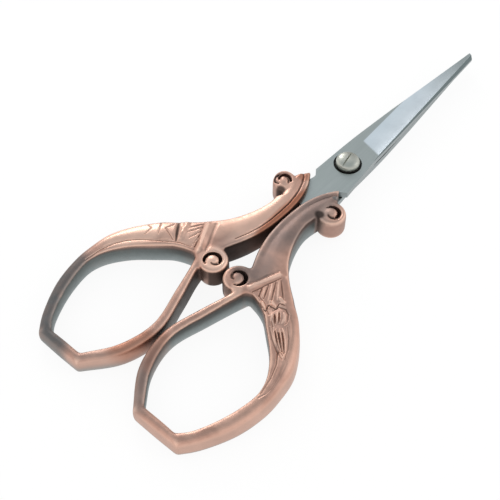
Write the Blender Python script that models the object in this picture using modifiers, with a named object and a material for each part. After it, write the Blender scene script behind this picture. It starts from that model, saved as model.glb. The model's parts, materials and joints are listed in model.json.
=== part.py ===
"""Embroidery scissors with scrolled die-cast handles and stainless blades.

Model frame: +Y runs from the finger loops to the tip, +X to the right handle, +Z up off the table.
The origin lies on the table under the middle of the closed scissors. Each half is modelled round the
pivot axis, with the right handle's plan at +X, and hangs on an empty that stands on that axis.
"""

import math

import bmesh
import bpy
from mathutils import Matrix, Vector

MM = 0.001

# Clearances
HANDLE_GAP = 0.3 * MM       # between the closed handles, across the centre plane
RUNNING_GAP = 0.3 * MM      # between the two blades, face to face
TANG_GAP = 0.3 * MM         # round each tang in its slot
ROOT_GAP = 0.35 * MM        # between a blade's root and the other handle
SHANK_GAP = 0.1 * MM        # round the screw's shank
SEAT_GAP = 0.15 * MM        # under the washer and under the screw's head

# Handle, along the scissors from the pivot
HANDLE_START = 8.6 * MM     # pivot to the handle's blade end
ARM_LENGTH = 33.4 * MM      # blade end to the finger opening
LOOP_LENGTH = 31.7 * MM     # finger opening, along
END_BAR = 1.5 * MM          # bar across the far end

# Handle, across
SWELL = 0.4 * MM            # how far the walls stand out past the edges of the face
EDGE_ROUND = 0.45 * MM      # rounding of the face's edges
OUTER_ROUND = 1.3 * MM      # broad rounding on the outside of the finger loop
OUTER_FALL = 2.4 * MM       # how far down that rounding runs
BACK_ROUND = 1.2 * MM       # rounding of the back's edges
BACK_FALL = 2.4 * MM        # how far up the inner wall that rounding runs
CROWN = 0.3 * MM            # rise of the face's middle
ARM_BOW = 3.7 * MM          # how far the arm's blade end stands out from its waist
ARM_WIDTH = 4.1 * MM        # face of the arm at the waist
LOOP_WIDTH = 21.7 * MM      # finger opening, across
STRUT_WALL = 1.5 * MM       # rod on the centre side of the opening
ARC_WALL = 2.2 * MM         # rod on the outer side of the opening
SHOULDER_WALL = 6.2 * MM    # broad decorated shoulder beside the opening

# Handle heights: flat back on the table, face falling towards the loop's end
BLADE_END_HEIGHT = 6.3 * MM
SHOULDER_HEIGHT = 6.9 * MM
LOOP_TOP_HEIGHT = 6.6 * MM
LOOP_END_HEIGHT = 4.5 * MM

# Scrolls
OUTER_SCROLL_OUT = 7.0 * MM     # centre from the scissors' centre plane
OUTER_SCROLL_BEHIND = 6.4 * MM  # centre behind the handle's blade end
OUTER_SCROLL_RADIUS = 3.5 * MM  # where its ribbon leaves the arm
OUTER_SCROLL_TAIL = 3.1 * MM    # at the end of its turn
INNER_SCROLL_OUT = 3.4 * MM
INNER_SCROLL_AHEAD = 0.9 * MM   # centre ahead of the finger opening
INNER_SCROLL_RADIUS = 4.5 * MM
INNER_SCROLL_TAIL = 3.0 * MM
SCROLL_ROUND = 0.8 * MM         # rounding of a scroll's crest
SCROLL_EYE = 1.35 * MM          # radius of a scroll's eye
SCROLL_CHANNEL = 0.85 * MM      # widest part of the channel round the eye
SCROLL_DEPTH = 2.2 * MM         # depth of that channel
SCROLL_RISE = 0.25 * MM         # how far a scroll stands above the arm
EYE_DOME = 0.4 * MM             # dome on a scroll's eye
SCROLL_FOOT = 1.35 * MM         # scroll's underside above the table

# Relief on the arm
RIM_WIDTH = 1.25 * MM       # bead along the arm's inner edge
GROOVE_WIDTH = 0.5 * MM
GROOVE_DEPTH = 0.3 * MM
BAND_WIDTH = 1.1 * MM       # half-round bead across the shoulder
ROW_SPACING = 1.4 * MM      # between the handle's cross-sections
JOINT_INSET = 0.02 * MM     # strut's skin inside the loop's where they join

# Blades
BLADE_REACH = 49.8 * MM     # pivot to tip
BLADE_THICKNESS = 1.5 * MM
ROOT_WIDTH = 8.6 * MM       # blade across the pivot
TIP_WIDTH = 1.3 * MM        # blunt tip
BACK_FLARE = 0.085          # how much the upper blade's back widens towards its root, per length
FLARE_START = 6.0 * MM      # pivot to where that widening begins
SHOULDER_CUT = 1.2 * MM     # how far the upper blade's edge side steps in before its handle
SPINE_CHAMFER = 0.6 * MM    # flat ground along the back
SPINE_LAND = 0.5 * MM       # back left upright under the chamfer
CHAMFER_START = 4.0 * MM    # pivot to where the chamfer begins to run out
HOLLOW_START = 7.25 * MM    # pivot to the hollow grind
HOLLOW_SLANT = 0.65 * MM    # how far its start leans, each way
HOLLOW_SIDE = 1.6 * MM      # start of its edge side from the centre plane
HOLLOW_SPREAD = 0.093       # how fast that side runs out to the cutting edge, per length
HOLLOW_DEPTH = 0.22 * MM
MIDDLE_Z = 3.25 * MM        # height of the plane between the two blades
TANG_WIDTH = 2.0 * MM
TANG_LENGTH = 16.5 * MM     # how far the tang runs into the handle

# Pivot
SHANK_RADIUS = 1.5 * MM
HEAD_RADIUS = 2.6 * MM
HEAD_RIM = 1.1 * MM         # upright edge of the head
HEAD_DOME = 0.85 * MM       # crown above that edge
SLOT_WIDTH = 0.75 * MM
SLOT_DEPTH = 0.7 * MM
SLOT_TURN = math.radians(10)
WASHER_RADIUS = 3.1 * MM
WASHER_THICKNESS = 0.4 * MM
WASHER_SINK = 0.2 * MM      # washer's top below the blade's face
WASHER_CLEAR = 0.12 * MM    # round the washer in its seat
FOOT_RADIUS = 2.2 * MM      # shank's end, peened over under the lower blade
FOOT_HEIGHT = 0.6 * MM

# Derived places
HANDLE_REACH = HANDLE_START + ARM_LENGTH + LOOP_LENGTH + END_BAR + SWELL
PIVOT_Y = (HANDLE_REACH - BLADE_REACH) / 2
CENTRE_CLEAR = HANDLE_GAP / 2 + SWELL
LOOP_START = HANDLE_START + ARM_LENGTH


def clear_scene():
    for obj in list(bpy.data.objects):
        bpy.data.objects.remove(obj)


def collection_named(name):
    made = bpy.data.collections.new(name)
    bpy.context.scene.collection.children.link(made)
    return made


clear_scene()
PARTS = collection_named("embroidery_scissors")
CUTTERS = collection_named("cutters")
CUTTERS.hide_render = True


def material_named(name, colour, roughness, metallic):
    made = bpy.data.materials.new(name)
    made.use_nodes = True
    shader = made.node_tree.nodes["Principled BSDF"]
    shader.inputs["Base Color"].default_value = (*colour, 1.0)
    shader.inputs["Roughness"].default_value = roughness
    shader.inputs["Metallic"].default_value = metallic
    made.diffuse_color = (*colour, 1.0)
    return made


COPPER = material_named("antiqued_copper_plate", (0.52, 0.27, 0.18), 0.38, 1.0)
STEEL = material_named("satin_stainless_steel", (0.42, 0.45, 0.45), 0.35, 1.0)
SCREW_STEEL = material_named("screw_steel", (0.46, 0.45, 0.42), 0.35, 1.0)
BLACKENED = material_named("blackened_washer", (0.02, 0.02, 0.02), 0.5, 0.6)


def object_of(name, mesh, collection, material=None):
    made = bpy.data.objects.new(name, mesh)
    collection.objects.link(made)
    if collection is CUTTERS:
        made.hide_render = True
        made.display_type = "WIRE"
    if material:
        mesh.materials.clear()
        mesh.materials.append(material)
    return made


def evaluated_mesh(obj):
    graph = bpy.context.evaluated_depsgraph_get()
    mesh = bpy.data.meshes.new_from_object(obj.evaluated_get(graph))
    mesh.transform(obj.matrix_world)
    return mesh


def welded(mesh):
    work = bmesh.new()
    work.from_mesh(mesh)
    bmesh.ops.remove_doubles(work, verts=work.verts, dist=1e-6)
    bmesh.ops.recalc_face_normals(work, faces=work.faces)
    work.to_mesh(mesh)
    work.free()
    return mesh


def from_curve(name, curve):
    """Turns a curve into a closed mesh object among the cutters."""
    guide = bpy.data.objects.new(name + "_curve", curve)
    CUTTERS.objects.link(guide)
    bpy.context.view_layer.update()
    mesh = welded(evaluated_mesh(guide))
    bpy.data.objects.remove(guide)
    mesh.name = name
    return object_of(name, mesh, CUTTERS)


def add_spline(curve, points, closed, smooth_steps):
    """Bezier through (x, y) points. A third value of "corner" keeps that point sharp."""
    spline = curve.splines.new("BEZIER")
    spline.bezier_points.add(len(points) - 1)
    spline.use_cyclic_u = closed
    spline.resolution_u = smooth_steps
    for knot, point in zip(spline.bezier_points, points):
        knot.co = (point[0], point[1], point[2] if len(point) > 2 and point[2] != "corner" else 0)
        kind = "VECTOR" if point[-1] == "corner" else "AUTO"
        knot.handle_left_type = kind
        knot.handle_right_type = kind


def plate(name, outlines, low, high, edge=0.0, steps=6, edge_steps=2):
    """A flat outline, with any holes, between two heights. Its edges swell outwards by their rounding."""
    curve = bpy.data.curves.new(name, "CURVE")
    curve.dimensions = "2D"
    curve.fill_mode = "BOTH"
    curve.resolution_u = steps
    curve.extrude = (high - low) / 2 - edge
    curve.bevel_depth = edge
    curve.bevel_resolution = edge_steps if edge else 0
    for outline in outlines:
        add_spline(curve, outline, True, steps)
    made = from_curve(name, curve)
    made.data.transform(Matrix.Translation((0, 0, (low + high) / 2)))
    return made


def rod(name, points, radius, height, steps=4):
    """A round rod through plan points at one height."""
    curve = bpy.data.curves.new(name, "CURVE")
    curve.dimensions = "3D"
    curve.resolution_u = steps
    curve.bevel_depth = radius
    curve.bevel_resolution = 1
    curve.use_fill_caps = True
    add_spline(curve, [(x, y, height) for x, y in points], False, steps)
    return from_curve(name, curve)


def boolean(obj, other, operation):
    step = obj.modifiers.new(other.name, "BOOLEAN")
    step.operation = operation
    step.object = other
    step.solver = "EXACT"


def settled(obj, extras):
    """Bakes an object's Booleans and removes the shapes that made them."""
    bpy.context.view_layer.update()
    mesh = evaluated_mesh(obj)
    obj.modifiers.clear()
    obj.data = mesh
    for extra in extras:
        bpy.data.objects.remove(extra)
    return obj


# Handle plan. Distances back are positive, from the pivot towards the loops.

def arm_inner(back):
    """Inner edge of the arm's face: bowed, nearest the centre plane at the waist."""
    waist = HANDLE_START + 0.4 * ARM_LENGTH
    if back < waist:
        lean = ((waist - back) / (waist - HANDLE_START)) ** 2.7
    else:
        lean = ((back - waist) / (0.43 * ARM_LENGTH)) ** 2.3 * 0.87
    return CENTRE_CLEAR + ARM_BOW * lean


def arm_point(share):
    back = HANDLE_START + share * ARM_LENGTH
    return arm_inner(back), -back


def arm_outer_point(share, widths):
    inner, y = arm_point(share)
    return inner + widths * ARM_WIDTH, y


OPENING_X = CENTRE_CLEAR + STRUT_WALL


def in_opening(across, along):
    """A point by its share of the finger opening's width and length."""
    return OPENING_X + across * LOOP_WIDTH, -(LOOP_START + along * LOOP_LENGTH)


def section_rows():
    """Cross-sections from the blade end, round the finger loop, to the strut's root.

    Each is the inner and outer edge of the face, the outer edge's rounding across and down, the groove's
    depth beside the inner rim, the crown, and whether the outline turns a sharp corner there.
    """
    rows = []

    def row(inner, outer, across, down, groove, crown, corner=False):
        rows.append((*inner, *outer, across, down, groove, crown, corner))

    def arm(share, outer_share, widths, groove):
        row(arm_point(share), arm_outer_point(outer_share, widths), EDGE_ROUND, EDGE_ROUND, groove, CROWN)

    def shoulder(inner_across, inner_along, outer_share, widths, across, down, groove):
        inner = in_opening(inner_across, inner_along)
        row(inner, arm_outer_point(outer_share, widths), across, down, groove, CROWN)

    def loop(across, along, out_x, out_y, round_across, down, corner=False, groove=0.0, crown=0.4 * CROWN):
        x, y = in_opening(across, along)
        row((x, y), (x + out_x, y + out_y), round_across, down, groove, crown, corner)

    arm(0.0, 0.065, 0.68, 0.0)
    arm(0.06, 0.11, 0.84, GROOVE_DEPTH)
    arm(0.13, 0.16, 0.96, GROOVE_DEPTH)
    arm(0.24, 0.25, 1.03, GROOVE_DEPTH)
    arm(0.40, 0.38, 1.0, GROOVE_DEPTH)
    arm(0.56, 0.53, 1.25, GROOVE_DEPTH)
    arm(0.70, 0.67, 1.6, 0.6 * GROOVE_DEPTH)
    arm(0.82, 0.775, 2.03, 0.0)
    half = 0.5 * (EDGE_ROUND + OUTER_ROUND)
    shoulder(0.15, -0.085, 0.825, 2.32, half, half, 0.0)
    shoulder(0.25, -0.012, 0.862, 2.54, half, half, 0.3 * GROOVE_DEPTH)
    shoulder(0.33, 0.0, 0.89, 2.69, OUTER_ROUND, OUTER_ROUND, GROOVE_DEPTH)
    shoulder(0.48, 0.04, 0.935, 2.93, OUTER_ROUND, OUTER_ROUND, GROOVE_DEPTH)
    out = SHOULDER_WALL
    loop(0.64, 0.13, 0.63 * out, 0.70 * out, OUTER_ROUND, OUTER_ROUND, False, GROOVE_DEPTH, CROWN)
    loop(0.79, 0.22, 0.55 * out, 0.64 * out, OUTER_ROUND, OUTER_FALL, False, GROOVE_DEPTH, CROWN)
    loop(0.917, 0.33, 0.51 * out, 0.44 * out, OUTER_ROUND, OUTER_FALL, False, 0.5 * GROOVE_DEPTH, CROWN)
    out = ARC_WALL
    loop(0.98, 0.42, 1.15 * out, 0.32 * out, OUTER_ROUND, OUTER_FALL)
    loop(1.000, 0.510, out, 0.0, OUTER_ROUND, OUTER_FALL)
    loop(0.940, 0.710, 1.03 * out, -0.18 * out, OUTER_ROUND, OUTER_FALL)
    loop(0.800, 0.925, 0.85 * out, -0.3 * out, OUTER_ROUND, OUTER_FALL)
    out = END_BAR
    loop(0.700, 1.000, out, -out, OUTER_ROUND, OUTER_FALL, True)
    loop(0.500, 1.000, 0.0, -out, OUTER_ROUND, OUTER_FALL)
    loop(0.305, 1.000, -0.5 * out, -out, 0.7 * OUTER_ROUND, 0.7 * OUTER_FALL, True)
    out = STRUT_WALL
    loop(0.090, 0.790, -1.1 * out, -0.5 * out, 1.5 * EDGE_ROUND, 2 * EDGE_ROUND)
    loop(0.005, 0.545, -out, -0.05 * out, 1.5 * EDGE_ROUND, 2 * EDGE_ROUND)
    loop(0.097, 0.285, -out, -0.15 * out, 1.5 * EDGE_ROUND, 2 * EDGE_ROUND)
    loop(0.178, 0.085, -0.85 * out, -0.28 * out, 1.5 * EDGE_ROUND, 2 * EDGE_ROUND)
    loop(0.235, -0.035, -out, -0.1 * out, 1.5 * EDGE_ROUND, 2 * EDGE_ROUND)
    return rows


def smooth_rows(rows, spacing):
    """Rows along a smooth path through the given ones, about so far apart. It breaks at each corner."""
    made = []
    for index in range(len(rows) - 1):
        first, second = rows[index], rows[index + 1]
        before = first if index == 0 or first[-1] else rows[index - 1]
        after = second if index + 2 == len(rows) or second[-1] else rows[index + 2]
        far = max(math.dist(first[0:2], second[0:2]), math.dist(first[2:4], second[2:4]))
        count = max(2, round(far / spacing))
        pairs = ((before, first), (first, second), (second, after))
        spans = [max(math.dist(a[2:4], b[2:4]) ** 0.5, 1e-4) for a, b in pairs]
        for step in range(count):
            share = step / count
            values = []
            for p0, p1, p2, p3 in zip(before[:-1], first[:-1], second[:-1], after[:-1]):
                slope_in = p2 - p1
                slope_out = p2 - p1
                if before is not first:
                    turn = (p1 - p0) / spans[0] - (p2 - p0) / (spans[0] + spans[1])
                    slope_in += spans[1] * turn
                if after is not second:
                    turn = (p3 - p2) / spans[2] - (p3 - p1) / (spans[1] + spans[2])
                    slope_out += spans[1] * turn
                cube = share ** 3
                square = share ** 2
                values.append(
                    (2 * cube - 3 * square + 1) * p1
                    + (cube - 2 * square + share) * slope_in
                    + (3 * square - 2 * cube) * p2
                    + (cube - square) * slope_out
                )
            made.append(values)
    made.append(list(rows[-1][:-1]))
    return made


def section(width, height, across, down, groove, crown):
    """Closed cross-section of the handle, as (distance from the inner wall, height) pairs."""
    across = min(across, 0.45 * width)
    back = min(BACK_ROUND, 0.38 * width)
    inner_rise = min(BACK_FALL, 0.4 * height)
    outer_rise = min(back, 0.45 * (height - down))
    rim = min(RIM_WIDTH, 0.4 * (width - across - EDGE_ROUND))
    notch = min(GROOVE_WIDTH / 2, rim / 4)
    corner = 1 - math.sqrt(0.5)
    points = [(back, 0), (0.5 * back, 0.134 * inner_rise), (0.134 * back, 0.5 * inner_rise), (0, inner_rise)]
    points += [(0, height - EDGE_ROUND), (corner * EDGE_ROUND, height - corner * EDGE_ROUND)]
    points += [(EDGE_ROUND, height), (rim + EDGE_ROUND - notch, height)]
    points += [(rim + EDGE_ROUND, height - groove)]
    start = rim + EDGE_ROUND + notch
    end = width - across
    points += [(start, height)]
    for share in (0.33, 0.67):
        rise = crown * math.sin(math.pi * (0.1 + 0.8 * share))
        points.append((start + share * (end - start), height + rise))
    points += [(end, height)]
    points += [(end + 0.5 * across, height - 0.134 * down), (end + 0.866 * across, height - 0.5 * down)]
    points += [(width, height - down), (width, outer_rise)]
    points += [(width - 0.134 * back, 0.5 * outer_rise), (width - 0.5 * back, 0.134 * outer_rise)]
    points.append((width - back, 0))
    return points


def loft(name, rings):
    """Closed skin over cross-sections of equal point counts, with a flat end at each side."""
    work = bmesh.new()
    loops = [[work.verts.new(point) for point in ring] for ring in rings]
    for first, second in zip(loops, loops[1:]):
        for index in range(len(first)):
            after = (index + 1) % len(first)
            work.faces.new((first[index], first[after], second[after], second[index]))
    work.faces.new(loops[0])
    work.faces.new(loops[-1])
    bmesh.ops.recalc_face_normals(work, faces=work.faces)
    mesh = bpy.data.meshes.new(name)
    work.to_mesh(mesh)
    work.free()
    return object_of(name, mesh, CUTTERS)


def skin(name, rows, inset=0.0):
    """The handle's skin over finished rows, drawn in by a little where it lies inside its neighbour."""
    rings = []
    for values in rows:
        inner = Vector(values[0:2])
        outer = Vector(values[2:4])
        across = (outer - inner).normalized()
        start = inner - (SWELL - inset) * across
        width = (outer - inner).length + 2 * (SWELL - inset)
        height = face_height((inner.y + outer.y) / 2) - 2 * inset
        ring = []
        for out, up in section(width, height, *values[4:8]):
            place = start + out * across
            ring.append((place.x, place.y, up + inset))
        rings.append(ring)
    return loft(name, rings)


def handle_body():
    """The arm and the outside of the loop in one sweep, the end bar and strut in another, joined."""
    rows = section_rows()
    turn = [row[-1] for row in rows].index(True)
    outside = smooth_rows(rows[:turn + 1], ROW_SPACING)
    inside = smooth_rows(rows[turn:], ROW_SPACING)
    body = skin("handle_body", outside)
    strut = skin("handle_strut", outside[-2:-1] + inside, JOINT_INSET)
    boolean(body, strut, "UNION")
    return settled(body, [strut])


# Scrolls

def volute(centre, radius, tail, start, hand, steps=14):
    """Outline of a scroll: most of a turn from its root, wound by hand (1 anticlockwise, -1 clockwise)."""
    points = []
    for step in range(steps + 1):
        turn = 0.875 * step / steps
        angle = start + hand * turn * 2 * math.pi
        reach = tail + (radius - tail) * (1 - turn) ** 2.5 - SCROLL_ROUND
        kind = ("corner",) if step in (0, steps) else ()
        points.append((centre[0] + reach * math.cos(angle), centre[1] + reach * math.sin(angle), *kind))
    return points


def channel(centre, first, last, steps=12):
    """Crescent round a scroll's eye between two angles. It curls in towards its last end."""
    outer = []
    inner = []
    for step in range(steps + 1):
        share = step / steps
        angle = first + (last - first) * share
        half = SCROLL_CHANNEL / 2 * max(0.1, math.sin(math.pi * (0.08 + 0.9 * share)) ** 0.6)
        middle = SCROLL_EYE + SCROLL_CHANNEL / 2 - 0.3 * SCROLL_EYE * share ** 4
        ray = Vector((math.cos(angle), math.sin(angle)))
        kind = ("corner",) if step in (0, steps) else ()
        outer.append((*(Vector(centre) + ray * (middle + half)), *kind))
        inner.append((*(Vector(centre) + ray * (middle - half)), *kind))
    return outer + inner[::-1]


def eye_dome(name, centre, radius, base):
    """Low dome over a scroll's eye."""
    work = bmesh.new()
    bmesh.ops.create_uvsphere(work, u_segments=14, v_segments=6, radius=radius)
    bmesh.ops.scale(work, vec=(1, 1, EYE_DOME / radius), verts=work.verts)
    bmesh.ops.translate(work, vec=(centre[0], centre[1], base), verts=work.verts)
    mesh = bpy.data.meshes.new(name)
    work.to_mesh(mesh)
    work.free()
    return object_of(name, mesh, CUTTERS)


def block(name, size, centre, turn):
    work = bmesh.new()
    bmesh.ops.create_cube(work, size=1.0)
    bmesh.ops.scale(work, vec=size, verts=work.verts)
    mesh = bpy.data.meshes.new(name)
    work.to_mesh(mesh)
    work.free()
    made = object_of(name, mesh, CUTTERS)
    made.location = centre
    made.rotation_euler = (0, 0, turn)
    return made


# Each: centre, radius at the root, radius at the tail, root's angle, hand
OUTER_SCROLL = ((OUTER_SCROLL_OUT, -HANDLE_START - OUTER_SCROLL_BEHIND), OUTER_SCROLL_RADIUS,
                OUTER_SCROLL_TAIL, math.radians(140), -1)
INNER_SCROLL = ((INNER_SCROLL_OUT, -LOOP_START + INNER_SCROLL_AHEAD), INNER_SCROLL_RADIUS,
                INNER_SCROLL_TAIL, math.radians(-10), 1)


def face_height(y):
    """Height of the handle's face along its length."""
    marks = (
        (-HANDLE_REACH, LOOP_END_HEIGHT),
        (-LOOP_START, LOOP_TOP_HEIGHT),
        (-(LOOP_START - 0.24 * ARM_LENGTH), SHOULDER_HEIGHT),
        (-HANDLE_START, BLADE_END_HEIGHT),
    )
    for (y0, h0), (y1, h1) in zip(marks, marks[1:]):
        if y <= y1:
            return h0 + (h1 - h0) * (y - y0) / (y1 - y0)
    return BLADE_END_HEIGHT


def handle_mesh():
    """One right handle, without its tang slot."""
    body = handle_body()
    extras = []

    def join(other):
        boolean(body, other, "UNION")
        extras.append(other)

    def cut(other):
        boolean(body, other, "DIFFERENCE")
        extras.append(other)

    for label, scroll, first, last in (("outer", OUTER_SCROLL, 155, -50), ("inner", INNER_SCROLL, -65, 205)):
        crest = face_height(scroll[0][1]) + SCROLL_RISE
        join(plate(label + "_scroll", (volute(*scroll),), SCROLL_FOOT, crest, SCROLL_ROUND, steps=2))
        for side, low in (("face", crest - SCROLL_DEPTH), ("back", SCROLL_FOOT - SCROLL_DEPTH)):
            outline = channel(scroll[0], math.radians(first), math.radians(last))
            cut(plate(label + "_channel_" + side, (outline,), low, low + 2 * SCROLL_DEPTH, steps=2))
        join(eye_dome(label + "_eye", scroll[0], 0.9 * SCROLL_EYE, crest))

    inner_end = in_opening(0.232, -0.045)
    outer_end = arm_outer_point(0.775, 1.93)
    height = face_height(inner_end[1]) + 0.5 * CROWN
    join(rod("raised_band", (inner_end, outer_end), BAND_WIDTH / 2, height))
    settled(body, extras)
    mesh = body.data
    bpy.data.objects.remove(body)
    mesh.shade_smooth()
    mesh.set_sharp_from_angle(angle=math.radians(35))
    return mesh


# Blades. The upper blade's plan: cutting edge at -X, back at +X. Its tang runs into the left handle.

def blade_edge(ahead):
    """Cutting edge, from the centre plane, at a distance ahead of the pivot."""
    share = max(0.0, ahead / BLADE_REACH)
    return ROOT_WIDTH / 2 * (1 - 0.605 * share - 0.36 * share ** 1.6)


def blade_back(ahead, upper):
    """Back, from the centre plane, at a distance ahead of the pivot. The upper blade's root widens."""
    share = max(0.0, ahead / BLADE_REACH)
    half = 0.965 * ROOT_WIDTH / 2
    near_tip = TIP_WIDTH - blade_edge(BLADE_REACH)
    wider = BACK_FLARE * max(0.0, FLARE_START - ahead) if upper else 0.0
    return half + (near_tip - half) * (0.3 * share + 0.7 * share ** 1.35) + wider


def chamfer_width(ahead):
    """Width of the chamfer along the back, which runs out towards the root."""
    share = (ahead - CHAMFER_START) / (2 * ROOT_WIDTH)
    return SPINE_CHAMFER * min(1.0, max(0.02, share) ** 0.7)


def root_corner(upper):
    """Where the blade's back meets the circle that clears the other handle's blade end as they turn."""
    inner = Vector(arm_point(0.0))
    outer = Vector(arm_outer_point(0.065, 0.68))
    clear = (inner - SWELL * (outer - inner).normalized()).length - ROOT_GAP
    out = blade_back(-HANDLE_START, upper)
    return out, -math.sqrt(clear ** 2 - out ** 2)


def tang_middle(back):
    return arm_inner(back) + ARM_WIDTH / 2


def blade_outline(upper):
    """Plan of the upper blade, or of the lower one before it is turned over."""
    tang_end = HANDLE_START + TANG_LENGTH
    points = []
    for share in (1.0, 0.86, 0.68, 0.5, 0.32, 0.14):
        kind = ("corner",) if share == 1.0 else ()
        points.append((-blade_edge(share * BLADE_REACH), share * BLADE_REACH, *kind))
    shoulder = HANDLE_START - 0.6 * ROOT_WIDTH / 2
    points.append((-ROOT_WIDTH / 2, -shoulder, "corner"))
    if upper:
        points.append((-ROOT_WIDTH / 2 + SHOULDER_CUT, -shoulder - 1.4 * SHOULDER_CUT, "corner"))
        points.append((-ROOT_WIDTH / 2 + 0.65 * SHOULDER_CUT, -shoulder - 2.9 * SHOULDER_CUT))
    else:
        points.append((-arm_inner(HANDLE_START) - TANG_GAP, -HANDLE_START, "corner"))
    for back in (HANDLE_START + 0.36 * TANG_LENGTH, HANDLE_START + 0.65 * TANG_LENGTH, tang_end):
        kind = ("corner",) if back == tang_end else ()
        points.append((-tang_middle(back) - TANG_WIDTH / 2, -back, *kind))
    points.append((-tang_middle(tang_end) + TANG_WIDTH / 2, -tang_end, "corner"))
    root_end = HANDLE_START + 0.22 * ARM_LENGTH
    points.append((-tang_middle(root_end + TANG_WIDTH / 2) + TANG_WIDTH / 2, -root_end - TANG_WIDTH / 2))
    points.append((arm_inner(root_end) - SWELL - ROOT_GAP, -root_end, "corner"))
    for share in (0.14, 0.06):
        x, y = arm_point(share)
        points.append((x - SWELL - ROOT_GAP, y))
    points.append((arm_inner(HANDLE_START) - SWELL, -HANDLE_START + ROOT_GAP + 0.7 * SWELL, "corner"))
    points.append((*root_corner(upper), "corner"))
    for share in (0.0, 0.12, 0.2, 0.35, 0.55, 0.75, 0.9):
        points.append((blade_back(share * BLADE_REACH, upper), share * BLADE_REACH))
    points.append((blade_back(BLADE_REACH, upper), 0.988 * BLADE_REACH, "corner"))
    return points


UPPER_LOW = MIDDLE_Z + RUNNING_GAP / 2
UPPER_TOP = UPPER_LOW + BLADE_THICKNESS


def blade_mesh(name, upper):
    """A blade in the upper one's place over the pivot."""
    blade = plate(name, (blade_outline(upper),), UPPER_LOW, UPPER_TOP, steps=5)
    extras = []

    over = UPPER_TOP + BLADE_THICKNESS
    steep = (BLADE_THICKNESS - SPINE_LAND) / SPINE_CHAMFER
    rings = []
    for share in (0.0, 0.03, 0.08, 0.16, 0.26, 0.4, 0.6, 0.8, 1.05):
        ahead = CHAMFER_START + share * (BLADE_REACH - CHAMFER_START)
        wide = chamfer_width(ahead)
        ridge = blade_back(ahead, upper) - wide
        out = 3 * SPINE_CHAMFER
        rings.append(((ridge, ahead, UPPER_TOP), (ridge + out, ahead, UPPER_TOP - steep * out),
                      (ridge + out, ahead, over), (ridge, ahead, over)))
    chamfer = loft("spine_chamfer", rings)
    boolean(blade, chamfer, "DIFFERENCE")
    extras.append(chamfer)

    rings = []
    long = 1.05 * BLADE_REACH - HOLLOW_START
    for share in (0.0, 0.1, 0.25, 0.45, 0.7, 1.0):
        slant = HOLLOW_SLANT * (1 - share)
        left = Vector((-HOLLOW_SIDE - HOLLOW_SPREAD * share * long, HOLLOW_START + share * long + slant))
        ahead = HOLLOW_START + share * long - slant
        right = Vector((blade_back(ahead, upper) - 0.9 * chamfer_width(ahead), ahead))
        ring = []
        for step in range(9):
            depth = HOLLOW_DEPTH * (1 - (step / 4 - 1) ** 2)
            place = left.lerp(right, step / 8)
            ramp = 2 * depth if share == 0.0 else 0.0
            ring.append((place.x, place.y + ramp, UPPER_TOP - depth))
        ring += [(right.x, right.y, over), (left.x, left.y, over)]
        rings.append(ring)
    hollow = loft("hollow", rings)
    boolean(blade, hollow, "DIFFERENCE")
    extras.append(hollow)
    return settled(blade, extras)


def turned(name, profile, collection, material=None, steps=40):
    """A profile of (radius, height) pairs, top to bottom down its outer side, turned round Z."""
    work = bmesh.new()
    line = [work.verts.new((radius, 0, height)) for radius, height in profile]
    for first, second in zip(line, line[1:]):
        work.edges.new((first, second))
    mesh = bpy.data.meshes.new(name)
    work.to_mesh(mesh)
    work.free()
    made = object_of(name, mesh, collection, material)
    spin = made.modifiers.new("turn", "SCREW")
    spin.axis = "Z"
    spin.steps = steps
    spin.render_steps = steps
    spin.use_merge_vertices = True
    spin.merge_threshold = 1e-5
    spin.use_smooth_shade = True
    return made


SEAT_RADIUS = WASHER_RADIUS + WASHER_CLEAR
WASHER_TOP = UPPER_TOP - WASHER_SINK
SEAT_FLOOR = WASHER_TOP - WASHER_THICKNESS - SEAT_GAP
HOLE_RADIUS = SHANK_RADIUS + SHANK_GAP


def cylinder(name, radius, low, high, steps=40):
    return turned(name, ((0, high), (radius, high), (radius, low), (0, low)), CUTTERS, steps=steps)


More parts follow.
